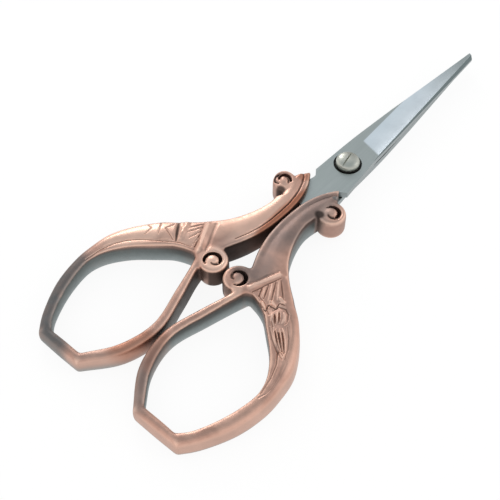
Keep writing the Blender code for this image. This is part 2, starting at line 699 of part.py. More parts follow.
def build():
    lower = bpy.data.objects.new("lower_half", None)
    upper = bpy.data.objects.new("upper_half", None)
    for half in (lower, upper):
        half.location = (0, PIVOT_Y, 0)
        half.empty_display_size = ROOT_WIDTH
        PARTS.objects.link(half)

    # Blades: the lower one is turned over about the scissors' length
    upper_blade = blade_mesh("upper_blade", True)
    lower_blade = blade_mesh("lower_blade", False)
    turn_over = Matrix.Translation((0, 0, 2 * MIDDLE_Z)) @ Matrix.Rotation(math.pi, 4, "Y")
    lower_blade.data.transform(turn_over)
    for blade in (upper_blade, lower_blade):
        CUTTERS.objects.unlink(blade)
        PARTS.objects.link(blade)
        blade.hide_render = False
        blade.display_type = "TEXTURED"
        blade.data.materials.append(STEEL)
    hole = cylinder("pivot_hole", HOLE_RADIUS, -SHOULDER_HEIGHT, 2 * SHOULDER_HEIGHT)
    seat = cylinder("washer_seat", SEAT_RADIUS, SEAT_FLOOR, 2 * SHOULDER_HEIGHT, steps=48)
    boolean(upper_blade, hole, "DIFFERENCE")
    boolean(upper_blade, seat, "DIFFERENCE")
    boolean(lower_blade, hole, "DIFFERENCE")

    # Handles: mirror castings, each slotted for its blade's tang
    right_mesh = handle_mesh()
    left_mesh = right_mesh.copy()
    left_mesh.transform(Matrix.Scale(-1, 4, (1, 0, 0)))
    left_mesh.flip_normals()
    right_handle = object_of("right_handle", right_mesh, PARTS, COPPER)
    left_handle = object_of("left_handle", left_mesh, PARTS, COPPER)
    lower_low = 2 * MIDDLE_Z - UPPER_TOP
    for handle, low, is_upper in ((left_handle, UPPER_LOW, True), (right_handle, lower_low, False)):
        slot = tang_slot(handle.name + "_tang_slot", low, is_upper)
        boolean(handle, slot, "DIFFERENCE")

    # Screw through both blades, its end peened over below
    head_low = WASHER_TOP + SEAT_GAP
    head_top = head_low + HEAD_RIM + HEAD_DOME
    foot_top = lower_low - SEAT_GAP
    profile = [(0, head_top)]
    for step in range(1, 6):
        lean = math.radians(90) * step / 6
        profile.append((HEAD_RADIUS * math.sin(lean), head_low + HEAD_RIM + HEAD_DOME * math.cos(lean)))
    profile += [
        (HEAD_RADIUS, head_low + HEAD_RIM),
        (HEAD_RADIUS, head_low),
        (SHANK_RADIUS, head_low),
        (SHANK_RADIUS, foot_top),
        (FOOT_RADIUS, foot_top),
        (0.75 * FOOT_RADIUS, foot_top - FOOT_HEIGHT),
        (0, foot_top - FOOT_HEIGHT),
    ]
    screw = turned("pivot_screw", profile, PARTS, SCREW_STEEL)
    slot_size = (SLOT_WIDTH, 3 * HEAD_RADIUS, 2 * SLOT_DEPTH)
    driver_slot = block("driver_slot", slot_size, (0, 0, head_top), SLOT_TURN)
    boolean(screw, driver_slot, "DIFFERENCE")

    washer_profile = [
        (WASHER_RADIUS, WASHER_TOP),
        (WASHER_RADIUS, WASHER_TOP - WASHER_THICKNESS),
        (HOLE_RADIUS, WASHER_TOP - WASHER_THICKNESS),
        (HOLE_RADIUS, WASHER_TOP),
        (WASHER_RADIUS, WASHER_TOP),
    ]
    washer = turned("pivot_washer", washer_profile, PARTS, BLACKENED, steps=48)

    for piece in (lower_blade, right_handle, screw, washer):
        piece.parent = lower
    for piece in (upper_blade, left_handle):
        piece.parent = upper
    for cutter in CUTTERS.objects:
        cutter.parent = lower


def tang_slot(name, low, upper):
    """A blade's root and tang, grown by the tang's clearance, as a cutter for its handle."""
    curve = bpy.data.curves.new(name, "CURVE")
    curve.dimensions = "2D"
    curve.fill_mode = "BOTH"
    curve.resolution_u = 5
    curve.offset = TANG_GAP
    curve.extrude = BLADE_THICKNESS / 2 + TANG_GAP
    side = 1 if upper else -1
    outline = [(side * point[0], *point[1:]) for point in blade_outline(upper)]
    add_spline(curve, outline, True, 5)
    made = from_curve(name, curve)
    made.data.transform(Matrix.Translation((0, 0, low + BLADE_THICKNESS / 2)))
    return made


build()
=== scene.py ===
"""Embroidery scissors on a white table: cast copper handles, satin steel blades and a slotted pivot screw."""

import json
import math
from types import SimpleNamespace

import bmesh
import bpy
import numpy as np
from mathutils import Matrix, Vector


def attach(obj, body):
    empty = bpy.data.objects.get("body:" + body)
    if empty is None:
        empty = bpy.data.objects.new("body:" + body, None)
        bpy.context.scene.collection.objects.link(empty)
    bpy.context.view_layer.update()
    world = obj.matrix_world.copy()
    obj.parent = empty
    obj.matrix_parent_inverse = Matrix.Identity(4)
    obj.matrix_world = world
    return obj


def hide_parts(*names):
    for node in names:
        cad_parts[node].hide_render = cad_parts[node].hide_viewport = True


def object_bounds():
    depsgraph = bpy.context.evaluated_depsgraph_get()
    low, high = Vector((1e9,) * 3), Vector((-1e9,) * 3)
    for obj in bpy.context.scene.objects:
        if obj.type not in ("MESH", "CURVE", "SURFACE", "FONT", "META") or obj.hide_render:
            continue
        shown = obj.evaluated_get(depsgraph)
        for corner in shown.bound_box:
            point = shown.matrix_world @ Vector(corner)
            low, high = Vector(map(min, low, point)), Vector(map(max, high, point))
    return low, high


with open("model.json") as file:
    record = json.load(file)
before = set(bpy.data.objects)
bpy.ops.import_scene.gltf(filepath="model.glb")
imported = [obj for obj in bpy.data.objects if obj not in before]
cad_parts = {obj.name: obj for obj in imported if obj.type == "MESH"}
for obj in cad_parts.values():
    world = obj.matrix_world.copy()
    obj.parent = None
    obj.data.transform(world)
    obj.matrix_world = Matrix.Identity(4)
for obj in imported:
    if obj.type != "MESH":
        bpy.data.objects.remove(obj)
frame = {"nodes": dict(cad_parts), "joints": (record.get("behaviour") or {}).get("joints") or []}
cad_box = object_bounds()

MM = 0.001
PIVOT = Vector(frame["joints"][0]["pos_m"])

# Camera
CAMERA_PLACE = (0.0800, -0.1115, 0.1623)
CAMERA_TILT = math.radians(37.7)
CAMERA_HEADING = math.radians(41.3)
LENS = 68.4
SENSOR = 36

# Room. A turn, here and below, is the range over which one colour goes over into the next.
WHITE = (1, 1, 1, 1)
WORLD_LIGHT = (1.05, 1.05, 1.05, 1)    # on matt surfaces
SKY_OVERHEAD = (0.50, 0.56, 0.60, 1)   # seen in metal; the horizon is white
OVERHEAD_TURN = (0.38, 0.94)           # share of facing up
FAR_SIDE = (-0.66, 0.75, 0)            # away from the camera, where the room is darker
SKY_FAR = (0.38, 0.38, 0.39, 1)
FAR_TURN = (0.66, 0.94)                # share of facing the far side

# Table
TABLE_HALF_WIDTH = 1.5                 # m
TABLE_DROP = 0.05 * MM                 # below the handles' backs
TABLE_GREY = (0.9, 0.9, 0.9, 1)        # takes the shadow
TABLE_LIFT = 0.90                      # share that shows as plain white

# Copper plate
COPPER_DEEP = (0.47, 0.272, 0.210, 1)
COPPER_PALE = (0.67, 0.408, 0.322, 1)
# tarnish, also used as painted shade on every upright side
COPPER_TARNISH_AND_SIDE_SHADE = (0.150, 0.148, 0.147, 1)
# painted highlight tones for rubbed places and ridges; the dull one where tarnish lies over them
COPPER_RUBBED_HIGHLIGHT = (0.98, 0.650, 0.510, 1)
COPPER_RUBBED_HIGHLIGHT_DULL = (0.40, 0.345, 0.32, 1)
# painted red reflection where the handles face each other
COPPER_RED_REFLECTION = (0.42, 0.165, 0.095, 1)
# painted shade, near black: in cuts and hollows, on inner walls and under the rim
RECESS_SHADE_BLACK = (0.040, 0.030, 0.027, 1)
# grey wall tone, painted darker under the rim as shade; the foot tone is painted reflection of the table
WALL_GREY_SHADED = (0.140, 0.158, 0.155, 1)
FOOT_GREY_REFLECTING = (0.33, 0.37, 0.375, 1)
FOOT_TURN = (4.2 * MM, 0.6 * MM)       # height over the table
# painted shade just under the rim
RIM_SHADE_BROWN = (0.120, 0.090, 0.080, 1)
TOP_TURN = (4.6 * MM, 5.8 * MM)

# Steel
STEEL_TONES = ((0.415, 0.455, 0.445, 1), (0.455, 0.495, 0.485, 1))
# painted reflection that makes the hollow grind paler, giving way to a plain tone toward the tip
HOLLOW_REFLECTION_TONES = ((0.74, 0.81, 0.86, 1), (0.82, 0.89, 0.94, 1))
HOLLOW_TIP = (0.42, 0.47, 0.47, 1)
TIP_TURN = (30 * MM, 46 * MM)          # ahead of the pivot
# painted shade on the blade's chamfers
CHAMFER_SHADE = (0.15, 0.185, 0.19, 1)
# painted shade on the blade's upright side faces
SIDE_FACE_SHADE = (0.29, 0.325, 0.33, 1)
GRIND_START = (7.35 * MM, 7.85 * MM)   # ahead of the pivot, where the hollow grind begins
GRIND_START_LEAN = 0.254
GRIND_SIDE = (-1.32 * MM, -1.08 * MM)  # beside the centre plane, where it ends
GRIND_SIDE_LEAN = 0.0516
SCREW_TONES = ((0.42, 0.43, 0.385, 1), (0.56, 0.56, 0.50, 1))
WASHER_TONES = ((0.012, 0.012, 0.012, 1), (0.035, 0.034, 0.033, 1))

# Cast handles. Plan places are mm from the pivot: out from the centre plane, back (negative) to the loops.
SKIN_GRAIN = 0.22 * MM                 # point spacing of the softened skin
SOFT_ROUNDS = 15                       # softening rounds on the plain skin
SCROLL_ROUNDS = 4                      # and round the scrolls
HOLLOW_ROUNDS = 18                     # smoothing rounds that find hollows and ridges
FACE_LOW = 3.6                         # mm over the table, relief lies above this
FACE_UP = 0.35                         # and where the skin faces up by this share or more
FINE_STROKE = 0.45                     # mm, strokes under this half width count as ridges
STROKE_ENDS = 0.3                      # share of a stroke's length over which it thins out
OPENING_MIDDLE = (12.9, -57.9)
LOOP_START = (-40.5, -37.5)            # back, where the shoulder becomes the loop
OUTER_SCROLL = (7.0, -15.0)
INNER_SCROLL = (3.4, -41.1)
SCROLL_CRISP = 3.2                     # mm round a scroll's eye that keep a crisper skin
SCROLL_COPPER = 3.6                    # mm round a scroll's eye whose walls stay copper above the foot
SCROLL_FADE = (3.7, 4.6)               # mm round the outer scroll's eye, where its narrowing ends
ARM_WAY = (-0.75, 0.66)                # plan direction from the outer scroll's eye to its arm
ARM_REACH = 3.5                        # mm that way, what stays in place when the scroll is narrowed
LOOP_WALL_TOP = 5.1                    # mm over the table, where the grey of the walls gives way
ARM_WALL_TOP = 6.1

# Blades
BLADE_CORNER = math.radians(25)        # edges that turn by more are broken
BLADE_BREAK = 0.05 * MM

# Pivot screw
HEAD_RADIUS = 2.71 * MM
HEAD_HEIGHT = 1.95 * MM
CROWN_HEIGHT = 1.5 * MM                # the head's rounded part
CROWN_POWER = 0.75                     # 1 is round, and less is squarer
CROWN_STEPS = 16
TURNED_STEPS = 72
SHANK_RADIUS = 1.5 * MM
PEEN_HEIGHT = 0.6 * MM
PEEN_RADIUS = 2.2 * MM
PEEN_FOOT = 1.65 * MM
SLOT_WIDTH = 0.42 * MM
SLOT_DEPTH = 0.6 * MM
SLOT_TURN = math.radians(10)
SCREW_CORNER = math.radians(40)
SCREW_BREAK = 0.06 * MM


# Node helpers

def plug(tree, source, socket):
    """Gives a socket an output or a value."""
    if isinstance(source, bpy.types.NodeSocket):
        tree.links.new(source, socket)
    else:
        socket.default_value = source


def mix_colour(tree, share, first, second):
    """Mixes two colours, each a value or an output, by a share."""
    made = tree.nodes.new("ShaderNodeMix")
    made.data_type = "RGBA"
    for index, source in ((0, share), (6, first), (7, second)):
        plug(tree, source, made.inputs[index])
    return made.outputs[2]


def maths(tree, operation, *sources, clamp=False):
    made = tree.nodes.new("ShaderNodeMath")
    made.operation = operation
    made.use_clamp = clamp
    for socket, source in zip(made.inputs, sources):
        plug(tree, source, socket)
    return made.outputs[0]


def ramp(tree, source, low, high, to_low=0.0, to_high=1.0):
    """Maps a range to another, clamped."""
    made = tree.nodes.new("ShaderNodeMapRange")
    tree.links.new(source, made.inputs["Value"])
    made.inputs["From Min"].default_value = low
    made.inputs["From Max"].default_value = high
    made.inputs["To Min"].default_value = to_low
    made.inputs["To Max"].default_value = to_high
    return made.outputs[0]


def spread(tree, noisy, to_low=0.0, to_high=1.0):
    """A noise, which seldom leaves 0.3 to 0.7, spread over a range."""
    return ramp(tree, noisy, 0.3, 0.7, to_low, to_high)


def axes(tree, source):
    """A vector's X, Y and Z."""
    made = tree.nodes.new("ShaderNodeSeparateXYZ")
    tree.links.new(source, made.inputs[0])
    return made.outputs


def noise(tree, place, scale, detail):
    made = tree.nodes.new("ShaderNodeTexNoise")
    made.inputs["Scale"].default_value = scale
    made.inputs["Detail"].default_value = detail
    tree.links.new(place, made.inputs["Vector"])
    return made.outputs["Fac"]


def attribute(tree, name):
    made = tree.nodes.new("ShaderNodeAttribute")
    made.attribute_name = name
    return made.outputs["Fac"]


def bump(tree, shader, height, strength, distance):
    made = tree.nodes.new("ShaderNodeBump")
    made.inputs["Strength"].default_value = strength
    made.inputs["Distance"].default_value = distance
    tree.links.new(height, made.inputs["Height"])
    tree.links.new(made.outputs[0], shader.inputs["Normal"])


def grain_group():
    """Fine marks that every metal here has: hairlines along one way, a drift of tone, and small pits."""
    group = bpy.data.node_groups.new("metal_grain", "ShaderNodeTree")
    face = group.interface
    face.new_socket("Vector", in_out="INPUT", socket_type="NodeSocketVector")
    face.new_socket("Line Stretch", in_out="INPUT", socket_type="NodeSocketVector")
    for name in ("Lines", "Drift", "Pits"):
        face.new_socket(name, in_out="OUTPUT", socket_type="NodeSocketFloat")
    enter = group.nodes.new("NodeGroupInput")
    leave = group.nodes.new("NodeGroupOutput")
    place = enter.outputs["Vector"]
    stretched = group.nodes.new("ShaderNodeVectorMath")
    stretched.operation = "MULTIPLY"
    group.links.new(place, stretched.inputs[0])
    group.links.new(enter.outputs["Line Stretch"], stretched.inputs[1])
    group.links.new(noise(group, stretched.outputs[0], 1, 4), leave.inputs["Lines"])
    group.links.new(noise(group, place, 260, 2), leave.inputs["Drift"])
    group.links.new(noise(group, place, 2600, 2), leave.inputs["Pits"])
    return group


GRAIN = grain_group()


def metal_material(name, stretch):
    """A material with its shader, its Object coordinates and its grain in place."""
    made = bpy.data.materials.new(name)
    made.use_nodes = True
    tree = made.node_tree
    shader = tree.nodes["Principled BSDF"]
    shader.inputs["Metallic"].default_value = 1.0
    place = tree.nodes.new("ShaderNodeTexCoord").outputs["Object"]
    grain = tree.nodes.new("ShaderNodeGroup")
    grain.node_tree = GRAIN
    grain.inputs["Line Stretch"].default_value = stretch
    tree.links.new(place, grain.inputs["Vector"])
    return made, shader, place, grain.outputs


# Materials

def copper_finish():
    """Copper plate: painted highlights on ridges and rubbed places, dull where tarnished with painted shade
    on upright sides, a painted red reflection where the handles face each other, a grey wall tone painted
    darker under the rim and paler at the foot, and painted near-black shade in recesses.
    """
    made, shader, place, grain = metal_material("antiqued_copper", (900, 900, 900))
    tree = made.node_tree
    recess_shade = attribute(tree, "recess_shade")
    tarnish = attribute(tree, "tarnish")
    rubbed_and_highlit = maths(tree, "MAXIMUM", attribute(tree, "ridge_highlight"), attribute(tree, "rubbed_and_highlit"))

    drift = maths(tree, "MULTIPLY", spread(tree, grain["Drift"]), 0.6)
    mottle = maths(tree, "ADD", drift, spread(tree, grain["Lines"], 0.0, 0.4), clamp=True)
    tarnish_and_side_shade = maths(tree, "MULTIPLY", tarnish, ramp(tree, mottle, 0.2, 0.8, 1.0, 0.85), clamp=True)
    highlight_tone = mix_colour(tree, tarnish_and_side_shade, COPPER_RUBBED_HIGHLIGHT, COPPER_RUBBED_HIGHLIGHT_DULL)
    plate = mix_colour(tree, mottle, COPPER_DEEP, COPPER_PALE)
    plate = mix_colour(tree, tarnish_and_side_shade, plate, COPPER_TARNISH_AND_SIDE_SHADE)
    # painted highlights on ridges and rubbed places
    plate = mix_colour(tree, rubbed_and_highlit, plate, highlight_tone)
    # painted red reflection between the handles
    plate = mix_colour(tree, attribute(tree, "red_reflection"), plate, COPPER_RED_REFLECTION)

    height = axes(tree, place)["Z"]
    # wall tone: painted shade under the rim, painted reflection of the table at the foot
    shaded_wall_tone = mix_colour(tree, ramp(tree, height, *FOOT_TURN), WALL_GREY_SHADED, FOOT_GREY_REFLECTING)
    shaded_wall_tone = mix_colour(tree, ramp(tree, height, *TOP_TURN), shaded_wall_tone, RIM_SHADE_BROWN)
    patches = ramp(tree, grain["Drift"], 0.1, 0.5, 0.8, 1.0)
    wall = maths(tree, "MULTIPLY", attribute(tree, "wall"), patches, clamp=True)
    plate = mix_colour(tree, wall, plate, shaded_wall_tone)
    # painted near-black shade in recesses
    plate = mix_colour(tree, recess_shade, plate, RECESS_SHADE_BLACK)
    tree.links.new(plate, shader.inputs["Base Color"])

    rough = maths(tree, "MULTIPLY_ADD", recess_shade, 0.2, spread(tree, grain["Lines"], 0.37, 0.47))
    rough = maths(tree, "MULTIPLY_ADD", tarnish, 0.16, rough)
    tree.links.new(rough, shader.inputs["Roughness"])
    bump(tree, shader, grain["Pits"], 0.2, 0.03 * MM)
    return made


def steel_finish(name, side):
    """Satin stainless steel, ground along the blade, its hollow grind made paler by painted reflection, with
    painted shade on its chamfer and side faces.

    The side is 1 for the upper blade and -1 for the lower one, which lies turned over.
    """
    made, shader, place, grain = metal_material(name, (5200, 130, 5200))
    tree = made.node_tree
    where = axes(tree, place)
    facing = axes(tree, tree.nodes.new("ShaderNodeTexCoord").outputs["Normal"])
    out = maths(tree, "MULTIPLY", where["X"], side)
    ahead = maths(tree, "SUBTRACT", where["Y"], PIVOT.y)
    up = maths(tree, "MULTIPLY", facing["Z"], side)

    past_start = ramp(tree, maths(tree, "MULTIPLY_ADD", out, GRIND_START_LEAN, ahead), *GRIND_START)
    past_side = ramp(tree, maths(tree, "MULTIPLY_ADD", ahead, GRIND_SIDE_LEAN, out), *GRIND_SIDE)
    in_grind = maths(tree, "MULTIPLY", past_start, past_side)
    in_grind = maths(tree, "MULTIPLY", in_grind, ramp(tree, up, 0.88, 0.93), clamp=True)
    # painted shade on faces that slope between top and side
    chamfer_shade = maths(tree, "MULTIPLY", ramp(tree, up, 0.88, 0.80), ramp(tree, up, 0.2, 0.3), clamp=True)
    # painted shade on upright side faces
    edge = ramp(tree, maths(tree, "ABSOLUTE", facing["Z"]), 0.35, 0.15)

    plain = mix_colour(tree, spread(tree, grain["Lines"]), *STEEL_TONES)
    # painted reflection in the hollow grind, fading toward the tip
    grind_reflection = mix_colour(tree, spread(tree, grain["Drift"]), *HOLLOW_REFLECTION_TONES)
    grind_reflection = mix_colour(tree, ramp(tree, ahead, *TIP_TURN), grind_reflection, HOLLOW_TIP)
    steel = mix_colour(tree, in_grind, plain, grind_reflection)
    steel = mix_colour(tree, chamfer_shade, steel, CHAMFER_SHADE)
    steel = mix_colour(tree, edge, steel, SIDE_FACE_SHADE)
    tree.links.new(steel, shader.inputs["Base Color"])
    tree.links.new(spread(tree, grain["Lines"], 0.28, 0.36), shader.inputs["Roughness"])
    bump(tree, shader, grain["Lines"], 0.06, 0.02 * MM)
    return made


def screw_finish():
    """Turned and lightly polished steel."""
    made, shader, _, grain = metal_material("screw_steel_turned", (2600, 2600, 400))
    tree = made.node_tree
    tone = mix_colour(tree, ramp(tree, grain["Drift"], 0.35, 0.65), *SCREW_TONES)
    tree.links.new(tone, shader.inputs["Base Color"])
    tree.links.new(spread(tree, grain["Lines"], 0.34, 0.40), shader.inputs["Roughness"])
    bump(tree, shader, grain["Lines"], 0.03, 0.01 * MM)
    return made


def washer_finish():
    """Blackened steel."""
    made, shader, _, grain = metal_material("blackened_steel", (1500, 1500, 1500))
    tree = made.node_tree
    tree.links.new(mix_colour(tree, grain["Drift"], *WASHER_TONES), shader.inputs["Base Color"])
    tree.links.new(spread(tree, grain["Lines"], 0.4, 0.55), shader.inputs["Roughness"])
    bump(tree, shader, grain["Pits"], 0.3, 0.03 * MM)
    return made


COPPER = copper_finish()
UPPER_STEEL = steel_finish("satin_steel_upper", 1.0)
LOWER_STEEL = steel_finish("satin_steel_lower", -1.0)
SCREW_STEEL = screw_finish()
BLACKENED = washer_finish()


# Stage

def add_object(name, data):
    """A new object in the scene."""
    made = bpy.data.objects.new(name, data)
    bpy.context.scene.collection.objects.link(made)
    return made


def finish_mesh(work, name):
    """Closes a bmesh into a new mesh."""
    mesh = bpy.data.meshes.new(name)
    work.to_mesh(mesh)
    work.free()
    return mesh


def make_camera():
    lens = bpy.data.cameras.new("view")
    lens.lens = LENS
    lens.sensor_width = SENSOR
    lens.clip_start = 5 * MM
    made = add_object("view", lens)
    made.location = CAMERA_PLACE
    made.rotation_euler = (CAMERA_TILT, 0, CAMERA_HEADING)
    bpy.context.scene.camera = made


def seen_directly(tree):
    """1 for rays from the camera, off metal and through glass."""
    rays = tree.nodes.new("ShaderNodeLightPath")
    direct = maths(tree, "ADD", rays.outputs["Is Camera Ray"], rays.outputs["Is Glossy Ray"])
    return maths(tree, "ADD", direct, rays.outputs["Is Transmission Ray"], clamp=True)


def make_world():
    """Even light for matt surfaces; metal sees a white horizon, darker overhead and on the far side."""
    world = bpy.data.worlds.new("white_room")
    bpy.context.scene.world = world
    world.use_nodes = True
    tree = world.node_tree
    way = tree.nodes.new("ShaderNodeTexCoord").outputs["Generated"]
    sky = mix_colour(tree, ramp(tree, axes(tree, way)["Z"], *OVERHEAD_TURN), WHITE, SKY_OVERHEAD)
    away = tree.nodes.new("ShaderNodeVectorMath")
    away.operation = "DOT_PRODUCT"
    tree.links.new(way, away.inputs[0])
    away.inputs[1].default_value = FAR_SIDE
    sky = mix_colour(tree, ramp(tree, away.outputs["Value"], *FAR_TURN), sky, SKY_FAR)
    seen = mix_colour(tree, seen_directly(tree), WORLD_LIGHT, sky)
    tree.links.new(seen, tree.nodes["Background"].inputs["Color"])


def make_table():
    """A wide sheet that shows nearly white and still takes the shadow."""
    work = bmesh.new()
    bmesh.ops.create_grid(work, x_segments=1, y_segments=1, size=TABLE_HALF_WIDTH)
    bmesh.ops.translate(work, vec=(0, 0, -TABLE_DROP), verts=work.verts)
    table = add_object("table", finish_mesh(work, "table"))
    white = bpy.data.materials.new("white_table")
    white.use_nodes = True
    tree = white.node_tree
    tree.nodes.remove(tree.nodes["Principled BSDF"])
    matt = tree.nodes.new("ShaderNodeBsdfDiffuse")
    matt.inputs["Color"].default_value = TABLE_GREY
    plain = tree.nodes.new("ShaderNodeEmission")
    plain.inputs["Color"].default_value = WHITE
    join = tree.nodes.new("ShaderNodeMixShader")
    tree.links.new(maths(tree, "MULTIPLY", seen_directly(tree), TABLE_LIFT), join.inputs[0])
    tree.links.new(matt.outputs[0], join.inputs[1])
    tree.links.new(plain.outputs[0], join.inputs[2])
    tree.links.new(join.outputs[0], tree.nodes["Material Output"].inputs["Surface"])
    table.data.materials.append(white)


def make_light(name, place, size, power):
    """A round lamp that faces the middle of the table."""
    lamp = bpy.data.lights.new(name, "AREA")
    lamp.shape = "DISK"
    lamp.size = size
    lamp.energy = power
    made = add_object(name, lamp)
    made.location = place
    made.rotation_euler = (-Vector(place)).to_track_quat("-Z", "Y").to_euler()


# Mesh helpers

def evaluated(obj):
    """The object's mesh with its modifiers carried out."""
    bpy.context.view_layer.update()
    graph = bpy.context.evaluated_depsgraph_get()
    return bpy.data.meshes.new_from_object(obj.evaluated_get(graph))


def carry_out(obj):
    """Puts the evaluated mesh in place of the object's modifiers."""
    mesh = evaluated(obj)
    obj.modifiers.clear()
    obj.data = mesh
    return mesh


def merged_copy(node, name):
    """A copy of a frame node as a new object, its loose triangles joined."""
    work = bmesh.new()
    work.from_mesh(frame["nodes"][node].data)
    bmesh.ops.remove_doubles(work, verts=work.verts, dist=0.001 * MM)
    return add_object(name, finish_mesh(work, name))


def break_edges(work, corner, width):
    """Bevels the edges that turn by more than a corner."""
    sharp = [edge for edge in work.edges if len(edge.link_faces) == 2 and edge.calc_face_angle() > corner]
    bmesh.ops.bevel(work, geom=sharp, offset=width, offset_type="OFFSET", affect="EDGES", segments=2,
                    profile=0.5, material=-1, clamp_overlap=True)


def vertex_array(mesh, what="co"):
    values = np.zeros(len(mesh.vertices) * 3)
    mesh.vertices.foreach_get(what, values)
    return values.reshape(-1, 3)


def move_points(mesh, co):
    mesh.vertices.foreach_set("co", co.ravel())
    mesh.update()


def smoothed(mesh, co, rounds):
    """Points drawn towards their neighbours, round after round."""
    ends = np.zeros(len(mesh.edges) * 2, dtype=np.int64)
    mesh.edges.foreach_get("vertices", ends)
    first, second = ends.reshape(-1, 2).T
    count = len(co)
    degree = np.maximum(np.bincount(first, minlength=count) + np.bincount(second, minlength=count), 1)
    for _ in range(rounds):
        mean = np.empty_like(co)
        for axis in range(3):
            sums = np.bincount(first, co[second, axis], count) + np.bincount(second, co[first, axis], count)
            mean[:, axis] = sums / degree
        co = 0.5 * co + 0.5 * mean
    return co


def rise(values, low, high):
    """0 up to low, 1 from high on, and a soft step between."""
    share = np.clip((values - low) / (high - low), 0, 1)
    return share * share * (3 - 2 * share)


def fall(values, low, high):
    """1 up to low, 0 from high on, and a soft step between."""
    return 1 - rise(values, low, high)


def plan_places(co, side):
    """How far out and how far back points lie, in mm. Side is 1 on the right and -1 on the left."""
    return side * co[:, 0] / MM, (co[:, 1] - PIVOT.y) / MM


def near_scrolls(out, back, reach):
    """1 over the scrolls, falling to 0 round their reach."""
    near = np.full(len(out), np.inf)
    for x, y in (OUTER_SCROLL, INNER_SCROLL):
        near = np.minimum(near, np.hypot(out - x, back - y))
    return fall(near, reach - 0.5, reach + 0.5)


# Relief lines, as plan places

def stroke(points, half_width, height, taper=0.0):
    """A raised (positive) or cut (negative) line, thinner at its ends by a share."""
    return {"points": points, "half": half_width, "height": height, "taper": taper}


ARM_BEAD = [(5.3, -9.4), (4.2, -10.6), (3.25, -12.3), (2.45, -14.5), (2.05, -16.3), (1.65, -19), (1.55, -22),
            (1.6, -25), (1.95, -28), (2.65, -31), (3.6, -33.8)]
LOOP_BEAD = [(9.3, -41.4), (11.5, -42.0), (13.8, -43.4), (16.0, -44.9), (18.3, -46.5), (20.6, -48.6),
             (22.2, -51.0), (23.3, -54.0), (23.9, -57.6)]
PANEL_EDGE = [(15.3, -39.9), (16.9, -40.9), (18.7, -42.2), (20.1, -43.7), (21.2, -45.4), (22.2, -47.2),
              (23.4, -50.1), (24.3, -52.8), (24.8, -55.4), (24.7, -57.2), (24.2, -58.5)]


def curl(centre, radius, first, last, end_radius):
    """Points round a scroll's eye, drawing in over the last third."""
    points = []
    for step in range(19):
        share = step / 18
        lean = math.radians(first + (last - first) * share)
        reach = radius + (end_radius - radius) * max(0.0, share - 0.66) / 0.34
        points.append((centre[0] + reach * math.cos(lean), centre[1] + reach * math.sin(lean)))
    return points


def shared_relief():
    """What both handles have: the edge line of the opening and the channels of the scrolls."""
    return [
        stroke(LOOP_BEAD, 0.17, -0.20, 0.3),
        stroke(curl(OUTER_SCROLL, 1.70, 160, -95, 0.95), 0.40, -0.34, 0.5),
        stroke(curl(INNER_SCROLL, 1.70, -70, 250, 0.85), 0.40, -0.34, 0.5),
    ]


def fan(starts, ends, height):
    """Pleats that spread from the band."""
    return [stroke([start, end], 0.15, height, 0.4) for start, end in zip(starts, ends)]


def right_band():
    """The band's raised edge, its two grooves, the pleats that spread from it and a row of facets."""
    made = [
        stroke(ARM_BEAD[:5], 0.16, -0.16, 0.4),
        stroke([(6.9, -41.3), (9.6, -35.0)], 0.40, 0.25),
        stroke([(7.9, -41.6), (10.3, -35.6)], 0.15, -0.20),
        stroke([(6.1, -40.9), (8.8, -34.6)], 0.16, -0.14),
    ]
    made += fan([(8.8, -39.8), (9.4, -38.4), (10.1, -37.0), (10.6, -35.9)],
                [(9.6, -41.6), (10.7, -41.4), (12.5, -41.3), (13.9, -39.1)], -0.24)
    made += fan([(9.2, -39.2), (9.9, -37.8), (10.5, -36.5)],
                [(10.2, -41.3), (11.8, -41.2), (13.2, -40.1)], 0.12)
    for facet in ([(11.2, -42.3), (12.5, -43.0)],
                  [(12.5, -41.0), (13.8, -41.5)],
                  [(13.4, -39.3), (14.3, -39.5)]):
        made.append(stroke(facet, 0.32, 0.34))
    zigzag = [(11.0, -43.4), (12.9, -43.3), (12.4, -41.9), (14.3, -41.8), (13.9, -40.3), (14.9, -39.9)]
    return made + [stroke(zigzag, 0.15, -0.26, 0.2)]


def right_bud():
    """A bud in its outline, with two slits between its petals."""
    outline = [(14.0, -42.4), (14.5, -41.0), (15.7, -40.5), (16.9, -41.1), (17.8, -42.5), (17.9, -43.5)]
    made = [
        stroke([(14.9, -43.8), (16.1, -42.0)], 1.15, 0.26),
        stroke(outline, 0.18, -0.22, 0.5),
        stroke([(14.8, -42.9), (15.6, -43.7), (16.3, -44.4)], 0.11, -0.20, 0.5),
        stroke([(15.3, -42.1), (16.0, -42.9), (16.7, -43.8)], 0.11, -0.20, 0.5),
    ]
    for petal in ([(14.2, -43.9), (14.5, -43.2), (15.1, -44.4)],
                  [(15.1, -42.3), (16.2, -43.9)],
                  [(16.3, -41.6), (17.1, -42.6), (17.3, -43.6)]):
        made.append(stroke(petal, 0.20, 0.14, 0.4))
    return made


